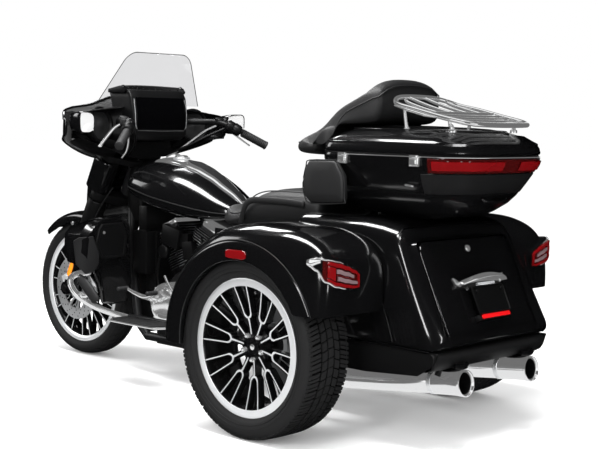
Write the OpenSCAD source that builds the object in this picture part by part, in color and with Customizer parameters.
// Touring trike: one wheel in front, two behind, with a trunk, a top case,
// a fork-mounted fairing and leg shields.
// Millimetres. +X is forward, +Y is the rider's left, +Z is up.
// Modules are drawn with x = 0 at the rear axle and z = 0 on the ground;
// place() then centres the length on the origin.

/* [Chassis] */
// Distance between the rear axle and the front axle
wheelbase = 1708; // [1700:1:1716]
// Distance of the part's origin ahead of the rear axle
origin_x = 688.5; // [680:0.5:696]
// Angle of the steering axis back from the vertical
rake = 26; // [25:0.5:27]
// Ground point of the steering axis, ahead of the front axle
trail = 100; // [90:1:105]

/* [Front wheel] */
// Outer radius of the front tyre
front_r = 319; // [315:1:322]
// Half of the front tyre's width
front_hw = 65; // [60:1:66]
// Radius of the front rim's bead seat
front_seat_r = 241; // [238:1:244]
// Radius of the front brake discs
front_disc_r = 160; // [150:1:162]

/* [Rear wheels] */
// Outer radius of the rear tyres
rear_r = 325; // [320:1:328]
// Middle plane of each rear tyre, from the centreline
rear_y = 557.5; // [555:0.5:560]
// Half of a rear tyre's section width
rear_hw = 107.5; // [100:0.5:108]
// Radius of the rear rim's bead seat
rear_seat_r = 229; // [226:1:231]

/* [Body] */
// Outer face of each rear fender, from the centreline
fender_y = 695; // [690:1:700]
// Radius of the rear fender's outer crease
fender_r = 370; // [366:1:374]
// Thickness of body panels
wall = 5; // [4:0.5:7]
// Height of the top case's seam
seam_z = 1012; // [1010:1:1014]
// Gap between panels that move and their neighbours
gap = 6; // [5.5:0.5:7]

/* [Handlebar] */
// Distance of each grip's end from the centreline
grip_y = 425; // [410:1:430]
// Radius of the bar
bar_r = 14; // [12:0.5:16]

/* [Hidden] */
$fn = 48;
A = [-sin(rake), 0, cos(rake)];       // unit vector up the steering axis
G = [wheelbase + trail, 0, 0];        // where that axis meets the ground
FX = [wheelbase, 0, front_r];         // centre of the front wheel
FC = [0, 0, 335];                     // centre of the rear fender's arc
DR = [-598, 0, 385];                  // trunk door's lower edge
TS = atan(0.47);                      // slant of the trunk's rear face
HB = [[1352, 112, 968], [1290, 170, 1092], [1180, 250, 1105], [1066, 292, 1085], [977, 418, 1005]];

black = [0.02, 0.02, 0.022];
satin = [0.06, 0.06, 0.065];
grey = [0.16, 0.16, 0.17];
chrome = [0.82, 0.83, 0.85];
silver = [0.72, 0.73, 0.75];
rubber = [0.05, 0.05, 0.055];
red = [0.75, 0.03, 0.03];

module place() { translate([-origin_x, 0, 0]) children(); }
module both() { children(); mirror([0, 1, 0]) children(); }
// a point s up the steering axis, moved f forward and square to it, and y across
function st(s, f = 0, y = 0) = G + s * A + f * [cos(rake), 0, sin(rake)] + [0, y, 0];
module rod(p, q, r) {
  v = q - p; L = norm(v);
  translate(p) rotate([0, acos(v[2] / L), atan2(v[1], v[0])]) cylinder(h = L, r = r);
}
// a bent tube: straight lengths with a ball at each bend
module pipe(P, r) {
  for (i = [0 : len(P) - 2]) rod(P[i], P[i + 1], r);
  for (i = [1 : len(P) - 2]) translate(P[i]) sphere(r = r * 1.03);
}
// the same as rounded links, for tubes that merge
module links(P, r, n = 14) for (i = [0 : len(P) - 2]) hull() { translate(P[i]) sphere(r = r, $fn = n); translate(P[i + 1]) sphere(r = r, $fn = n); }
module disc(p, r, h) { translate(p) rotate([90, 0, 0]) cylinder(h = h, r = r, center = true); }
// superellipse of half-sizes a and b, squarer as p grows
function se(a, b, p, n = 28) = [for (i = [0 : n - 1]) let (t = 360 * i / n, c = cos(t), s = sin(t))
  [a * sign(c) * pow(abs(c), 2 / p), b * sign(s) * pow(abs(s), 2 / p)]];
// rings of a loft along x and along z
function rx(x, zc, a, b, p, n = 28, yc = 0) = [for (q = se(a, b, p, n)) [x, yc + q[0], zc + q[1]]];
function rz(z, xc, a, b, p, n = 28, yc = 0) = [for (q = se(a, b, p, n)) [xc + q[0], yc + q[1], z]];
// closed skin through rings of equal count, with flat ends
module loft(R) {
  n = len(R[0]); m = len(R);
  polyhedron(points = [for (r = R) each r], faces = concat(
    [[for (j = [0 : n - 1]) j]], [[for (j = [n - 1 : -1 : 0]) (m - 1) * n + j]],
    [for (k = [0 : m - 2], j = [0 : n - 1]) each let (a = k * n + j, b = k * n + (j + 1) % n)
      [[a, a + n, b + n], [a, b + n, b]]]));
}
// closed plate between two grids of points that have the same rows and columns
module slab(P, Q) {
  m = len(P); n = len(P[0]); o = m * n;
  polyhedron(points = concat([for (r = P) each r], [for (r = Q) each r]), faces = concat(
    [for (i = [0 : m - 2], j = [0 : n - 2]) each let (a = i * n + j)
      [[a, a + 1, a + n + 1], [a, a + n + 1, a + n],
       [o + a, o + a + n + 1, o + a + 1], [o + a, o + a + n, o + a + n + 1]]],
    [for (j = [0 : n - 2]) each let (a = j, b = (m - 1) * n + j)
      [[a, o + a, o + a + 1], [a, o + a + 1, a + 1], [b, b + 1, o + b + 1], [b, o + b + 1, o + b]]],
    [for (i = [0 : m - 2]) each let (a = i * n, b = i * n + n - 1)
      [[a, a + n, o + a + n], [a, o + a + n, o + a], [b, o + b, o + b + n], [b, o + b + n, b + n]]]));
}
// revolve a profile of [radius, across] points about a wheel's axle at p
module wheel_turn(p) { translate(p) rotate([90, 0, 0]) rotate_extrude($fn = 96) children(); }

// ---- chassis ----
module frame() color(black) place() {
  difference() {
    union() {
      rod(st(860), st(990), 36);
      rod([1430, 0, 800], [1150, 0, 800], 30);
      rod([1150, 0, 800], [620, 0, 645], 28);
    }
    rod(st(850), st(1000), 20.05);
  }
  both() {
    pipe([[1372, 26, 800], [1270, 105, 480], [1215, 110, 215], [1140, 120, 165], [640, 120, 165], [520, 150, 260], [430, 170, 420]], 19);
    pipe([[640, 24, 652], [560, 120, 610], [430, 170, 420]], 17);
    pipe([[560, 120, 610], [380, 150, 640], [60, 170, 640]], 14);
  }
    rod([1180, -112, 190], [1180, 112, 190], 16);
  rod([560, -120, 610], [560, 120, 610], 15);
  rod([430, -170, 420], [430, 170, 420], 16);
}
module rear_suspension() color(satin) place() {
  both() {
    difference() {
      hull() { translate([430, 235, 330]) rotate([90, 0, 0]) cylinder(h = 26, r = 34, $fn = 32); translate([20, 235, 325]) rotate([90, 0, 0]) cylinder(h = 26, r = 60, $fn = 32); }
      rod([0, 200, 325], [0, 240, 325], 38.02);
    }
    rod([120, 222, 345], [120, 262, 345], 12);
    rod([120, 254, 340], [175, 254, 600], 24);
  }
  rod([430, -232, 330], [430, 232, 330], 20);
}
module rear_axle() color(grey) place() {
  rod([0, -395, 325], [0, 395, 325], 38);
  disc([0, 0, 325], 50, 150);
  both() {
    disc([0, 405, 325], 62, 30);
    rod([0, 395, 325], [0, 582, 325], 20);
    // caliper on its bracket, ahead of the axle
    difference() {
      translate([60, 400, 300]) cube([95, 62, 110]);
      translate([0, 0, 0]) disc([0, 434, 325], 163, 16);
    }
    translate([20, 396, 330]) cube([60, 14, 50]);
  }
}
module drive_belt() color(rubber) place() translate([0, 116, 0]) rotate([90, 0, 0]) difference() {
  linear_extrude(24) hull() { translate([0, 325]) circle(r = 64, $fn = 64); translate([560, 345]) circle(r = 50, $fn = 64); }
  translate([0, 0, -1]) linear_extrude(26) hull() { translate([0, 325]) circle(r = 57, $fn = 64); translate([560, 345]) circle(r = 43, $fn = 64); }
}
module engine_crankcase() color(satin) place() {
  hull() { translate([945, 85, 350]) rotate([90, 0, 0]) cylinder(h = 170, r = 128, $fn = 32); translate([930, 85, 250]) rotate([90, 0, 0]) cylinder(h = 170, r = 60, $fn = 32); }
  hull() { translate([715, 90, 350]) rotate([90, 0, 0]) cylinder(h = 180, r = 92, $fn = 32); translate([610, 90, 360]) rotate([90, 0, 0]) cylinder(h = 180, r = 70, $fn = 32); translate([735, 90, 425]) rotate([90, 0, 0]) cylinder(h = 180, r = 50, $fn = 32); }
  translate([780, -85, 250]) cube([110, 170, 180]);
  // sump under the crankcase
  translate([862, -96, 132]) cube([250, 192, 95]);
  // oil cooler and its bracket, between the front downtubes
  translate([1135, -80, 235]) cube([125, 160, 385]);
  translate([1195, -88, 600]) cube([60, 176, 135]);
  translate([1030, -40, 365]) cube([115, 80, 50]);
  // cam chest on the right
  hull() { translate([945, -80, 350]) rotate([90, 0, 0]) cylinder(h = 70, r = 85, $fn = 32); translate([930, -80, 420]) rotate([90, 0, 0]) cylinder(h = 60, r = 70, $fn = 32); }
}
module cylinder_at(a) {
  translate([935, 0, 350]) rotate([0, a, 0]) {
    translate([0, 0, 134]) cylinder(h = 96, r = 74);
    translate([0, 0, 228]) linear_extrude(70) square([150, 190], center = true);
    translate([0, 0, 297]) linear_extrude(50) square([104, 150], center = true);
  }
}
module engine_cylinders() color(black) place() difference() {
  union() { cylinder_at(22.5); cylinder_at(-22.5); }
  // groove under the frame's backbone
  rod([1150, 0, 800], [620, 0, 645], 34);
}
module primary_cover() color(chrome) place() {
  hull() { translate([950, 205, 330]) rotate([90, 0, 0]) cylinder(h = 115, r = 92, $fn = 32); translate([705, 205, 315]) rotate([90, 0, 0]) cylinder(h = 110, r = 78, $fn = 32); }
  disc([935, 208, 335], 78, 26);
  disc([735, 208, 318], 64, 26);
}
module air_cleaner() color(black) place() {
  rod([905, -100, 575], [905, -165, 575], 45);
  hull() { translate([905, -165, 575]) rotate([90, 0, 0]) cylinder(h = 60, r = 104, $fn = 32); translate([905, -165, 575]) rotate([90, 0, 0]) cylinder(h = 78, r = 80, $fn = 32); }
}
module exhaust_headers() color(chrome) place() {
  links([[1072, -121, 590], [1118, -140, 545], [1110, -175, 430], [1010, -200, 235], [760, -205, 178], [560, -200, 172], [380, -200, 166], [90, -200, 163]], 24);
  links([[800, -121, 590], [765, -140, 545], [725, -170, 430], [760, -205, 230], [740, -205, 180]], 22);
  links([[560, -200, 172], [520, -80, 140], [420, 80, 140], [380, 200, 166], [88, 200, 163]], 22);
}
module mufflers() color(chrome) place() both() {
  rotate([0, 0, 0]) {
    rod([60, 200, 163], [0, 200, 166], 30);
    translate([-2, 200, 166]) rotate([0, -90 + 6.3, 0]) {
      cylinder(h = 30, r1 = 24, r2 = 40);
      translate([0, 0, 29.9]) cylinder(h = 466, r = 40);
      difference() { translate([0, 0, 495.8]) cylinder(h = 122, r1 = 38, r2 = 45); translate([0, 0, 520]) cylinder(h = 110, r = 37); }
    }
    translate([-250, 194, 225]) cube([30, 12, 60]);
  }
}
// top height, bottom height and half-width of the tank along x
module fuel_tank() color(black) place() difference() {
  loft([for (v = [[640, 752, 712, 70], [680, 778, 708, 104], [740, 812, 703, 128], [820, 858, 706, 150], [900, 898, 712, 170], [980, 925, 718, 186],
    [1060, 936, 728, 198], [1130, 938, 742, 200], [1190, 930, 760, 188], [1230, 915, 780, 160], [1252, 895, 800, 118]])
      rx(v[0], (v[1] + v[2]) / 2, v[3], (v[1] - v[2]) / 2, 2.6)]);
  // tunnel over the backbone
  hull() { translate([1300, 0, 800]) rotate([0, 90, 0]) cylinder(h = 1, r = 38, $fn = 32); translate([1150, 0, 800]) rotate([0, 90, 0]) cylinder(h = 1, r = 38, $fn = 32); translate([1150, 0, 700]) sphere(r = 36, $fn = 24); translate([1300, 0, 700]) sphere(r = 36, $fn = 24); }
  hull() { translate([1155, 0, 800]) sphere(r = 38, $fn = 24); translate([600, 0, 655]) sphere(r = 38, $fn = 24); translate([1155, 0, 700]) sphere(r = 36, $fn = 24); translate([600, 0, 600]) sphere(r = 36, $fn = 24); }
}
module tank_console() color(chrome) place() difference() {
  loft([for (v = [[652, 748, 22, 14], [700, 790, 34, 16], [800, 856, 40, 16], [900, 905, 44, 16], [1000, 938, 48, 14], [1100, 950, 50, 12], [1170, 944, 44, 12], [1200, 934, 28, 10]])
    rx(v[0], v[1] - v[3] * 0.4, v[2], v[3], 3, 20)]);
  loft([for (v = [[600, 716, 69, 40], [640, 751.5, 70.5, 712], [680, 778.5, 104.5, 708], [740, 812.5, 128.5, 703], [820, 858.5, 150.5, 706], [900, 898.5, 170.5, 712], [980, 925.5, 186.5, 718],
    [1060, 936.5, 198.5, 728], [1130, 938.5, 200.5, 742], [1190, 930.5, 188.5, 760], [1230, 915.5, 160.5, 780]])
      rx(v[0], (v[1] + (v[3] < 100 ? 640 : v[3])) / 2, v[2], (v[1] - (v[3] < 100 ? 640 : v[3])) / 2, 2.6)]);
  // seat of the fuel door
  translate([1068, 0, 930]) cylinder(h = 60, r = 37);
}
module fuel_door() color(chrome) place() translate([1068, 0, 0]) {
  translate([0, 0, 944]) cylinder(h = 14, r = 31);
  rod([33, -9, 961], [33, 9, 961], 3.5);
  translate([20, -9, 957]) cube([13, 18, 6]);
}
module seat() color(rubber) place() loft([for (v = [[100, 812, 700, 170], [150, 838, 690, 178], [250, 852, 690, 182], [356, 852, 690, 184], [430, 835, 690, 184],
  [490, 808, 690, 182], [520, 770, 688, 176], [560, 752, 686, 178], [600, 752, 684, 170], [636, 754, 684, 110]])
    rx(v[0], (v[1] + v[2]) / 2, v[3], (v[1] - v[2]) / 2, 4)]);
// half-widths and heights of the trunk along x; k shrinks it by the wall
function trunk_ring(x, k) = let (
  t = (x + 600) / 620,
  zt = 782 - k - 0.00012 * pow(min(0, x + 300), 2), zb = 352 + k,
  yt = 326 + 26 * t - k, yb = 352 - k, r = 34)
  [[x, yb - 10, zb], [x, yb, zb + 16], [x, yt + (yb - yt) * 0.1, zt - r * 1.6], [x, yt - 4, zt - r * 0.8], [x, yt - r * 0.5, zt - r * 0.25], [x, yt - r * 1.4, zt],
   [x, -yt + r * 1.4, zt], [x, -yt + r * 0.5, zt - r * 0.25], [x, -yt + 4, zt - r * 0.8], [x, -yt - (yb - yt) * 0.1, zt - r * 1.6], [x, -yb, zb + 16], [x, -yb + 10, zb]];
function slant(R) = [for (p = R) [max(p[0], -600 + 0.47 * (p[2] - 380)), p[1], p[2]]];
module trunk_body() color(black) place() difference() {
  union() {
    loft(concat([for (x = [55, -200, -400]) trunk_ring(x - wall, wall)], [slant(trunk_ring(-640, wall)), slant(trunk_ring(-640, 0))], [for (x = [-400, -200, 55]) trunk_ring(x, 0)]));
    // rear frame round the door, set into the skin
    intersection() {
      loft(concat([slant(trunk_ring(-640, 2))], [for (x = [-400, -200, 40]) trunk_ring(x, 2)]));
      translate(DR) rotate([0, TS, 0]) difference() {
        translate([2, -400, -60]) cube([8, 800, 560]);
        translate([0, -268 - gap, 2 - gap]) cube([14, 536 + 2 * gap, 358 + 2 * gap]);
      }
    }
  }
  // tunnel for the axle, the swing arms and the belt
  translate([-76, -700, 300]) cube([300, 1400, 100]);
}
module trunk_door() color(black) place() {
  translate(DR) rotate([0, TS, 0]) {
    translate([0, -268, 2]) cube([24, 536, 358]);
    // plate panel, visor and reflector strip
    difference() { translate([-34, -92, 70]) cube([6, 184, 98]); both() rod([-40, 73, 150], [-20, 73, 150], 3.5); }
    translate([-30, -30, 80]) cube([32, 60, 60]);
    translate([-52, -133, 176]) cube([54, 266, 14]);
    translate([-40, -86, 50]) cube([12, 172, 16]);
    translate([-30, -30, 50]) cube([32, 60, 16]);
    // hinge knuckles
    both() { rod([-7, 190, -4], [-7, 240, -4], 5); translate([-9, 195, -4]) cube([12, 40, 14]); }
  }
}
module rear_fenders() color(black) place() both() difference() {
  union() {
    // arch over the wheel
    translate(FC) rotate([90, 0, 0]) rotate([0, 0, 0]) translate([0, 0, -fender_y]) rotate_extrude(angle = 160, $fn = 96)
      polygon([[300, 0], [300, 5], [366, 8], [398, 40], [416, 90], [420, 150], [418, 230], [402, 320], [396, 338], [402, 339], [424, 232], [426, 150], [422, 88], [404, 36], [fender_r, 2]]);
    // rear quarter with the lamp's pocket
    hull() { for (q = [[-350, 648, 506, 30], [-362, 420, 506, 30], [-352, 400, 690, 30], [-330, 632, 672, 36], [-250, 400, 724, 30], [-240, 636, 700, 36], [-300, 650, 506, 30]])
      translate([q[0], q[1], q[2]]) sphere(r = q[3], $fn = 24); }
  }
  // wheel well
  translate([0, 420, 325]) rotate([-90, 0, 0]) cylinder(h = 270, r = 366);
  hull() { translate([0, 390, 325]) rotate([-90, 0, 0]) cylinder(h = 262, r = 366, $fn = 64); translate([0, 400, 100]) rotate([-90, 0, 0]) cylinder(h = 252, r = 366, $fn = 32); }
  // clearance to the trunk's side
  translate([-700, 200, 0]) cube([1500, 156, 1000]);
  // lamp pocket
  translate([-500, 480, 560]) cube([168, 172, 116]);
}
module rear_valance() color(satin) place() difference() {
  hull() { translate([-540, -330, 300]) cube([60, 660, 46]); translate([-590, -300, 332]) cube([60, 600, 14]); }
  both() translate([-600, 120, 200]) cube([140, 160, 96]);
  translate([-560, -320, 280]) cube([74, 640, 58]);
}
module tail_lights() color(red) place() both() translate([-404, 478, 560]) {
  hull() { translate([2, 24, 22]) rotate([0, 90, 0]) cylinder(h = 62, r = 15, $fn = 32); translate([0, 34, 40]) rotate([0, 90, 0]) cylinder(h = 64, r = 15, $fn = 32); translate([0, 150, 36]) rotate([0, 90, 0]) cylinder(h = 64, r = 15, $fn = 32); translate([6, 148, 93]) rotate([0, 90, 0]) cylinder(h = 58, r = 15, $fn = 32); }
}
// plan outline of the top case at front x, rear x and half-width
function case_ring(z, xf, xr, w, n = 1) = [[xf - 60, w, z], [xr + 105, w, z], [xr + 42, w - 88, z], [xr + 6, w - 150, z], [xr, 0, z], [xr + 6, -w + 150, z], [xr + 42, -w + 88, z], [xr + 105, -w, z], [xf - 60, -w, z], [xf - 14, -w + 20, z], [xf, -w + 70, z], [xf + 2, 0, z], [xf, w - 70, z], [xf - 14, w - 20, z]];
module top_case() color(black) place() {
  loft([
    case_ring(800, -92, -496, 190), case_ring(834, -50, -552, 232), case_ring(880, -24, -590, 268), case_ring(946, -6, -640, 292), case_ring(seam_z - gap, 0, -650, 298),
    case_ring(seam_z - gap, -6, -643, 292), case_ring(946, -12, -633, 286), case_ring(880, -30, -583, 262), case_ring(840, -52, -553, 230)]);
  // stand that carries the case on the trunk
  translate([-430, -150, 782.3]) cube([330, 300, 45]);
}
module top_case_lid() color(black) place() { lid_hinge(); lid_shell(); }
module lid_shell() loft([
    case_ring(1098, -60, -560, 200), case_ring(1080, -26, -620, 262), case_ring(1060, -10, -641, 290), case_ring(seam_z, -6, -644, 292),
    case_ring(seam_z, 0, -650, 298), case_ring(1062, -4, -647, 296), case_ring(1086, -20, -626, 270), case_ring(1106, -54, -566, 206)]);
module lid_hinge() for (x = [-470, -150]) { rod([x, -306, 1014], [x + 50, -306, 1014], 4); translate([x, -307, 1013]) cube([50, 13, 8]); }
module backrest_lower() color(rubber) place() { lower_pad(); both() side_pad(); }
module side_pad() {
  translate([0, 330, 0]) rotate([90, 0, 0]) linear_extrude(24) polygon([[30, 845], [0, 820], [-158, 828], [-156, 925], [-118, 978], [12, 976], [42, 900]]);
  translate([2, 235, 842]) cube([30, 80, 100]);
}
module lower_pad() hull() {
  translate([30, 225, 862]) sphere(r = 42, $fn = 24); translate([30, -225, 862]) sphere(r = 42, $fn = 24);
  translate([45, 205, 932]) sphere(r = 42, $fn = 24); translate([45, -205, 932]) sphere(r = 42, $fn = 24);
  translate([48, 0, 936]) sphere(r = 42, $fn = 24);
}
module backrest_upper() color(rubber) place() difference() {
  union() {
    hull() { translate([-85, 0, 1232]) sphere(r = 42, $fn = 24); translate([-80, 60, 1222]) sphere(r = 38, $fn = 24); translate([-80, -60, 1222]) sphere(r = 38, $fn = 24);
      translate([-40, 190, 1130]) sphere(r = 36, $fn = 24); translate([-40, -190, 1130]) sphere(r = 36, $fn = 24); translate([10, 200, 1060]) sphere(r = 42, $fn = 24); translate([10, -200, 1060]) sphere(r = 42, $fn = 24); }
    both() hull() { translate([10, 210, 1060]) sphere(r = 42, $fn = 24); translate([10, 240, 1030]) sphere(r = 42, $fn = 24); translate([104, 226, 1034]) sphere(r = 42, $fn = 24); translate([60, 180, 1040]) sphere(r = 42, $fn = 24); }
  }
  // flat back on the lid and a step over the case
  translate([-700, -310, 900]) cube([703, 620, 207]);
  translate([-100, -320, 900]) cube([400, 640, 90]);
}
module luggage_rack() color(chrome) place() {
  links([[-300, 200, 1178], [-420, 200, 1156], [-550, 198, 1132], [-600, 150, 1122], [-612, 0, 1120], [-600, -150, 1122], [-550, -198, 1132], [-420, -200, 1156], [-300, -200, 1178]], 8, 10);
  links([[-300, 200, 1178], [-262, 150, 1196], [-226, 70, 1207], [-222, 0, 1208], [-226, -70, 1207], [-262, -150, 1196], [-300, -200, 1178]], 8, 10);
  for (y = [-132, -66, 0, 66, 132]) links([[-256 - (abs(y) == 132 ? 20 : 0), y, 1186], [-604, y, 1122]], 6, 10);
  both() for (x = [-330, -500]) links([[x, 186, 1116], [x, 196, 1172 + (x + 330) * 0.19]], 8, 10);
}
module lower_fairings() color(satin) place() both() difference() {
  union() {
    // shield
    hull() { translate([1330, 170, 640]) sphere(r = 20, $fn = 24); translate([1335, 400, 610]) sphere(r = 22, $fn = 24); translate([1300, 415, 480]) sphere(r = 18, $fn = 24); translate([1250, 160, 700]) sphere(r = 20, $fn = 24);
      translate([1230, 200, 690]) sphere(r = 26, $fn = 24); translate([1222, 350, 660]) sphere(r = 22, $fn = 24); translate([1222, 395, 590]) sphere(r = 20, $fn = 24); translate([1225, 350, 500]) sphere(r = 22, $fn = 24); translate([1225, 190, 505]) sphere(r = 22, $fn = 24); translate([1300, 170, 500]) sphere(r = 20, $fn = 24); }
    // leg in front of the engine guard
    hull() { translate([1232, 170, 500]) sphere(r = 16, $fn = 24); translate([1228, 350, 500]) sphere(r = 16, $fn = 24); translate([1182, 330, 330]) sphere(r = 14, $fn = 24); translate([1186, 190, 330]) sphere(r = 14, $fn = 24); }
  }
  // way for the engine guard
  hull() { translate([1262, 100, 470]) sphere(r = 21, $fn = 24); translate([1300, 300, 444]) sphere(r = 21, $fn = 24); translate([1330, 392, 432]) sphere(r = 21, $fn = 24); translate([1380, 392, 380]) sphere(r = 21, $fn = 24); translate([1380, 100, 380]) sphere(r = 21, $fn = 24);}
  // glove box
  translate([1190, 208, 516]) cube([118, 146, 128]);
  translate([1190, 204, 512]) cube([16, 154, 136]);
}
module glovebox_door(s) color(satin) place() mirror([0, s, 0])
  translate([1203, 0, 0]) rotate([0, -90, 0]) linear_extrude(9) polygon([[519, 222], [519, 346], [560, 352], [600, 352], [641, 336], [641, 222], [600, 210.5], [560, 210.5]]);
module glove_hinge(s) color(satin) place() mirror([0, s, 0]) { rod([1192, 250, 517], [1192, 320, 517], 4); translate([1191, 250, 516]) cube([6, 70, 8]); }
module glovebox_door_left() { glovebox_door(0); glove_hinge(0); }
module glovebox_door_right() { glovebox_door(1); glove_hinge(1); }
module engine_guard() color(chrome) place() {
  both() links([[1262, 142, 470], [1300, 300, 444], [1330, 392, 432], [1332, 398, 400], [1292, 385, 345], [1244, 300, 288], [1226, 146, 232]], 16);
}
module floorboard(s) color(black) place() mirror([0, s, 0]) {
  translate([770, 262, 262]) cube([345, 118, 12]);
  rod([760, 244, 268], [1120, 244, 268], 10);
  for (x = [800, 1050]) translate([x, 244, 262]) cube([30, 30, 12]);
}
module floorboard_left() floorboard(0);
module floorboard_right() floorboard(1);
module foot_controls() color(chrome) place() {
  // shift lever and heel pad, left, clear of the folded board
  rod([960, 221.5, 350], [960, 238, 350], 9);
  rod([960, 234, 352], [960, 290, 370], 9);
  pipe([[1068, 300, 397], [960, 297, 371], [882, 300, 396]], 7);
  rod([1068, 292, 397], [1068, 350, 397], 10);
  rod([882, 292, 396], [882, 350, 396], 10);
  // brake pedal, right
  rod([1000, -162, 330], [1000, -290, 366], 9);
  rod([1000, -290, 366], [1090, -300, 394], 8);
  translate([1066, -345, 391]) cube([60, 80, 12]);
}
module side_covers() color(black) place() both() {
  slab([for (z = [440, 560, 680]) [for (x = [400, 480, 560, 640]) [x, 240 - (z - 440) * 0.1 + (x - 400) * -0.08, z]]],
       [for (z = [440, 560, 680]) [for (x = [400, 480, 560, 640]) [x, 226 - (z - 440) * 0.1 + (x - 400) * -0.08, z]]]);
  translate([470, 172, 500]) cube([30, 58, 30]);
}
// ---- front end, turns about the steering axis ----
module fork() color(black) place() {
  difference() {
    union() {
      hull() both() { rod(st(810, 50, 120), st(848, 50, 120), 40); rod(st(810, 0, 20), st(848, 0, 20), 36); }
      hull() both() { rod(st(1006, 50, 120), st(1034, 50, 120), 38); rod(st(1006, 0, 20), st(1034, 0, 20), 34); }
      rod(st(815), st(1030), 20);
      both() {
        rod(st(420, 50, 120), st(1060, 50, 120), 24.5);
        rod(st(330, 50, 120), st(640, 50, 120), 33);
        disc([wheelbase, 120, front_r], 34, 60);
      }
    }
    disc(FX, 12.5, 400);
  }
  // axle
  disc(FX, 12.5, 320);
  // cover plate between the legs, above the fender
  hull() both() rod(st(704, 50, 80), st(806, 50, 80), 6);
  // shrouds over the tubes, below and between the yokes
  both() difference() {
    union() { rod(st(650, 50, 120), st(806, 50, 120), 44); rod(st(852, 60, 124), st(1002, 60, 124), 47); }
    rod(st(640, 50, 120), st(1010, 50, 120), 24.4);
  }
}
module front_fender() color(black) place() difference() {
  union() {
    translate(FX) rotate([90, 0, 0]) rotate([0, 0, 24]) rotate_extrude(angle = 152, $fn = 96)
      polygon([[300, -85.5], [335, -84.5], [347, -70], [353, -30], [354, 0], [353, 30], [347, 70], [335, 84.5], [300, 85.5], [300, 82], [333, 81], [343, 68], [349, 30], [350, 0], [349, -30], [343, -68], [333, -81], [300, -82]]);
    both() translate([1655, 83, 600]) rotate([0, -26, 0]) cube([60, 3.6, 50]);
  }
  // room for the fork's shrouds
  both() rod(st(630, 50, 120), st(820, 50, 120), 47);
}
// the fairing's outer skin: across t from -1 to 1, up u from 0 to 1
function fair(t, u, o = 0) = let (w = 462 - o, y = w * t, a = abs(t),
  zt = 1149 + 56 * (1 - pow(a, 2.6)), zb = 924 + 98 * a * a * (3 - 2 * a),
  z = zb + (zt - zb) * u,
  x = 1590 - o - 290 * pow(a, 2.6) - 60 * u * (1 - a) - 30 * pow(2 * u - 1, 2) * (1 - a))
  [x, y, z + (u > 0.5 ? -o : o) * 0.6];
module fairing_outer() color(black) place() difference() {
  slab([for (u = [0 : 0.125 : 1]) [for (t = [-1 : 0.0625 : 1]) fair(t, u)]],
       [for (u = [0 : 0.125 : 1]) [for (t = [-1 : 0.0625 : 1]) fair(t, u, 8)]]);
  translate([1400, 0, 1020]) rotate([0, 90, 0]) cylinder(h = 300, r = 96);
}
module headlight() color(silver) place() {
  translate([1484, 0, 1020]) rotate([0, 90, 0]) cylinder(h = 84, r = 92);
  rod([1370, 0, 1000], [1486, 0, 1015], 30);
}
module fairing_inner() color(satin) place() difference() {
  union() {
    // dash panel behind the screen
    hull() { translate([1240, 130, 1225]) sphere(r = 14, $fn = 24); translate([1240, -130, 1225]) sphere(r = 14, $fn = 24); translate([1205, 140, 1030]) sphere(r = 14, $fn = 24); translate([1205, -140, 1030]) sphere(r = 14, $fn = 24); translate([1400, 0, 1190]) sphere(r = 14, $fn = 24); }
    // wings with the speakers
    both() hull() { translate([1250, 150, 1170]) sphere(r = 14, $fn = 24); translate([1262, 420, 1140]) sphere(r = 12, $fn = 24); translate([1262, 420, 1020]) sphere(r = 12, $fn = 24); translate([1236, 150, 1010]) sphere(r = 14, $fn = 24); translate([1330, 380, 1090]) sphere(r = 12, $fn = 24); translate([1400, 120, 1120]) sphere(r = 14, $fn = 24); translate([1390, 130, 1010]) sphere(r = 12, $fn = 24); }
  }
  both() { rod([1352, 112, 968], [1290, 170, 1092], 22); rod([1352, 112, 968], [1360, 100, 900], 22); rod([1290, 170, 1092], [1150, 270, 1100], 32); rod([1200, 425, 1095], [1300, 397, 1072], 9); translate([1290, 170, 1092]) sphere(r = 33); translate([1352, 112, 968]) sphere(r = 25); rod([1352, 0, 968], [1352, 130, 968], 24); }
  both() translate([1191, 432, 1100]) cube([80, 110, 90], center = true);
}
module windshield() color([0.85, 0.87, 0.88, 0.5]) place()
  slab([for (u = [0 : 0.125 : 1]) [for (t = [-1 : 0.125 : 1]) screen(t, u, 0)]], [for (u = [0 : 0.125 : 1]) [for (t = [-1 : 0.125 : 1]) screen(t, u, 5)]]);
function screen(t, u, o) = let (w = 282 - 70 * pow(u, 1.6) - 60 * pow(u, 8), y = w * t, zt = 1196 + 224 * u - 30 * pow(abs(t), 4) * u)
  [1470 - 175 * pow(abs(t), 2) * (1 - 0.35 * u) - 195 * u - o, y, zt];
module handlebar() color(black) place() {
  both() {
    links(HB, bar_r);
    links([[1020, 357, 1044], [974, 422, 1002]], 18);
    links([[1075, 280, 1092], [1034, 337, 1056]], 26);
    links([[1090, 300, 1100], [1085, 345, 1085], [1010, 440, 1030]], 6, 10);
    links([[1130, 282, 1100], [1100, 300, 1118]], 22);
    links([st(1052, 0, 60), [1352, 60, 968]], 16);
  }
  links([[1352, -112, 968], [1352, 112, 968]], bar_r);
}
module mirrors() color(black) place() both() {
  translate([1191, 432, 1100]) rotate([0, 0, 20]) hull() { translate([0, -34, 14]) sphere(r = 22, $fn = 24); translate([0, 34, 20]) sphere(r = 20, $fn = 24); translate([0, 30, -20]) sphere(r = 20, $fn = 24); translate([0, -34, -18]) sphere(r = 20, $fn = 24); }
  rod([1200, 425, 1095], [1296, 398, 1073], 7.9);
}
module front_calipers() color(silver) place() both() difference() {
  union() {
    translate([wheelbase - 190, 64, front_r + 10]) rotate([0, -26, 0]) cube([70, 32, 120]);
    translate([wheelbase - 150, 88, front_r + 60]) cube([60, 14, 50]);
  }
  disc([wheelbase, 78.5, front_r], 168, 13);
}
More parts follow.
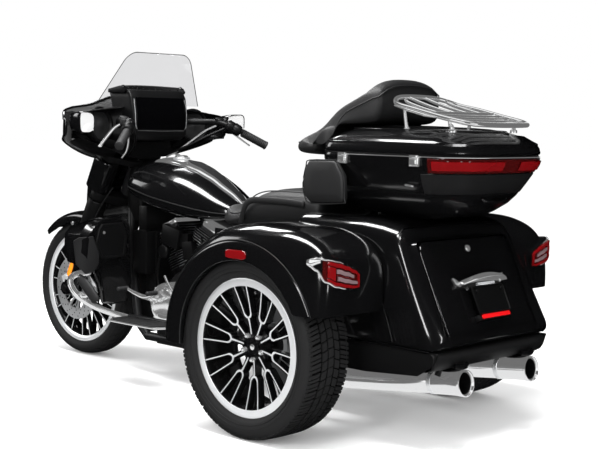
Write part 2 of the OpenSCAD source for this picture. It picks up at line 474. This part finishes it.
// ---- front wheel ----
module front_tyre() color(rubber) place() wheel_turn(FX)
  polygon([[front_seat_r, -40], [front_seat_r + 17, -46], [271, -60], [284, -front_hw], [298, -front_hw + 4], [309, -47], [316, -25], [front_r, 0], [316, 25], [309, 47], [298, front_hw - 4], [284, front_hw], [271, 60], [front_seat_r + 17, 46], [front_seat_r, 40]]);
module front_rim() color(silver) place() {
  wheel_turn(FX) polygon([[224, -34], [232, -44], [252, -50], [front_seat_r + 17, -46], [front_seat_r, -40], [front_seat_r, 40], [front_seat_r + 17, 46], [252, 50], [232, 44], [224, 34], [218, 0]]);
  wheel_turn(FX) polygon([[12.55, -70], [60, -70], [60, -60], [44, -46], [44, 46], [60, 60], [60, 70], [12.55, 70]]);
  translate(FX) rotate([90, 0, 0]) for (i = [0 : 9]) rotate([0, 0, 36 * i]) translate([38, -6, -28]) cube([184, 12, 56]);
}
module front_discs() color(silver) place() both() wheel_turn([FX[0], 0, FX[2]]) polygon([[40, -70], [60, -70], [75, -76], [front_disc_r, -76], [front_disc_r, -81], [70, -81], [56, -76], [40, -76]]);
// ---- rear wheels ----
module rear_tyre() wheel_turn([0, rear_y, rear_r])
  polygon([[rear_seat_r, -84], [rear_seat_r + 17, -90], [258, -101], [275, -rear_hw], [300, -104], [315, -96], [323, -84], [rear_r, -62], [rear_r, 62], [323, 84], [315, 96], [300, 104], [275, rear_hw], [258, 101], [rear_seat_r + 17, 90], [rear_seat_r, 84]]);
module rear_rim() {
  wheel_turn([0, rear_y, rear_r]) polygon([[216, -80], [224, -90], [240, -94], [rear_seat_r + 17, -90], [rear_seat_r, -84], [rear_seat_r, 84], [rear_seat_r + 17, 90], [240, 94], [224, 90], [216, 80], [212, 0]]);
  // hub, open at its inner end for the spindle, with the brake disc
  wheel_turn([0, rear_y, rear_r]) polygon([[0, -56], [44, -56], [52, -50], [70, -46], [76, -20], [60, 90], [56, 118], [160, 118], [160, 128], [20.05, 128], [20.05, -30], [0, -30]]);
  translate([0, rear_y, rear_r]) rotate([90, 0, 0]) for (i = [0 : 9]) rotate([0, 0, 36 * i + 18]) translate([60, -8, -64]) cube([162, 16, 34]);
}
module rear_tyre_left() color(rubber) place() rear_tyre();
module rear_tyre_right() color(rubber) place() mirror([0, 1, 0]) rear_tyre();
module rear_rim_left() color(silver) place() rear_rim();
module rear_rim_right() color(silver) place() mirror([0, 1, 0]) rear_rim();

frame();
rear_suspension();
rear_axle();
drive_belt();
engine_crankcase();
engine_cylinders();
primary_cover();
air_cleaner();
exhaust_headers();
mufflers();
fuel_tank();
tank_console();
seat();
trunk_body();
rear_fenders();
rear_valance();
tail_lights();
top_case();
backrest_lower();
lower_fairings();
engine_guard();
side_covers();
foot_controls();
fork();
front_fender();
fairing_outer();
fairing_inner();
windshield();
headlight();
handlebar();
mirrors();
front_calipers();
front_rim();
front_tyre();
front_discs();
rear_rim_left();
rear_tyre_left();
rear_rim_right();
rear_tyre_right();
trunk_door();
top_case_lid();
luggage_rack();
backrest_upper();
fuel_door();
glovebox_door_left();
glovebox_door_right();
floorboard_left();
floorboard_right();
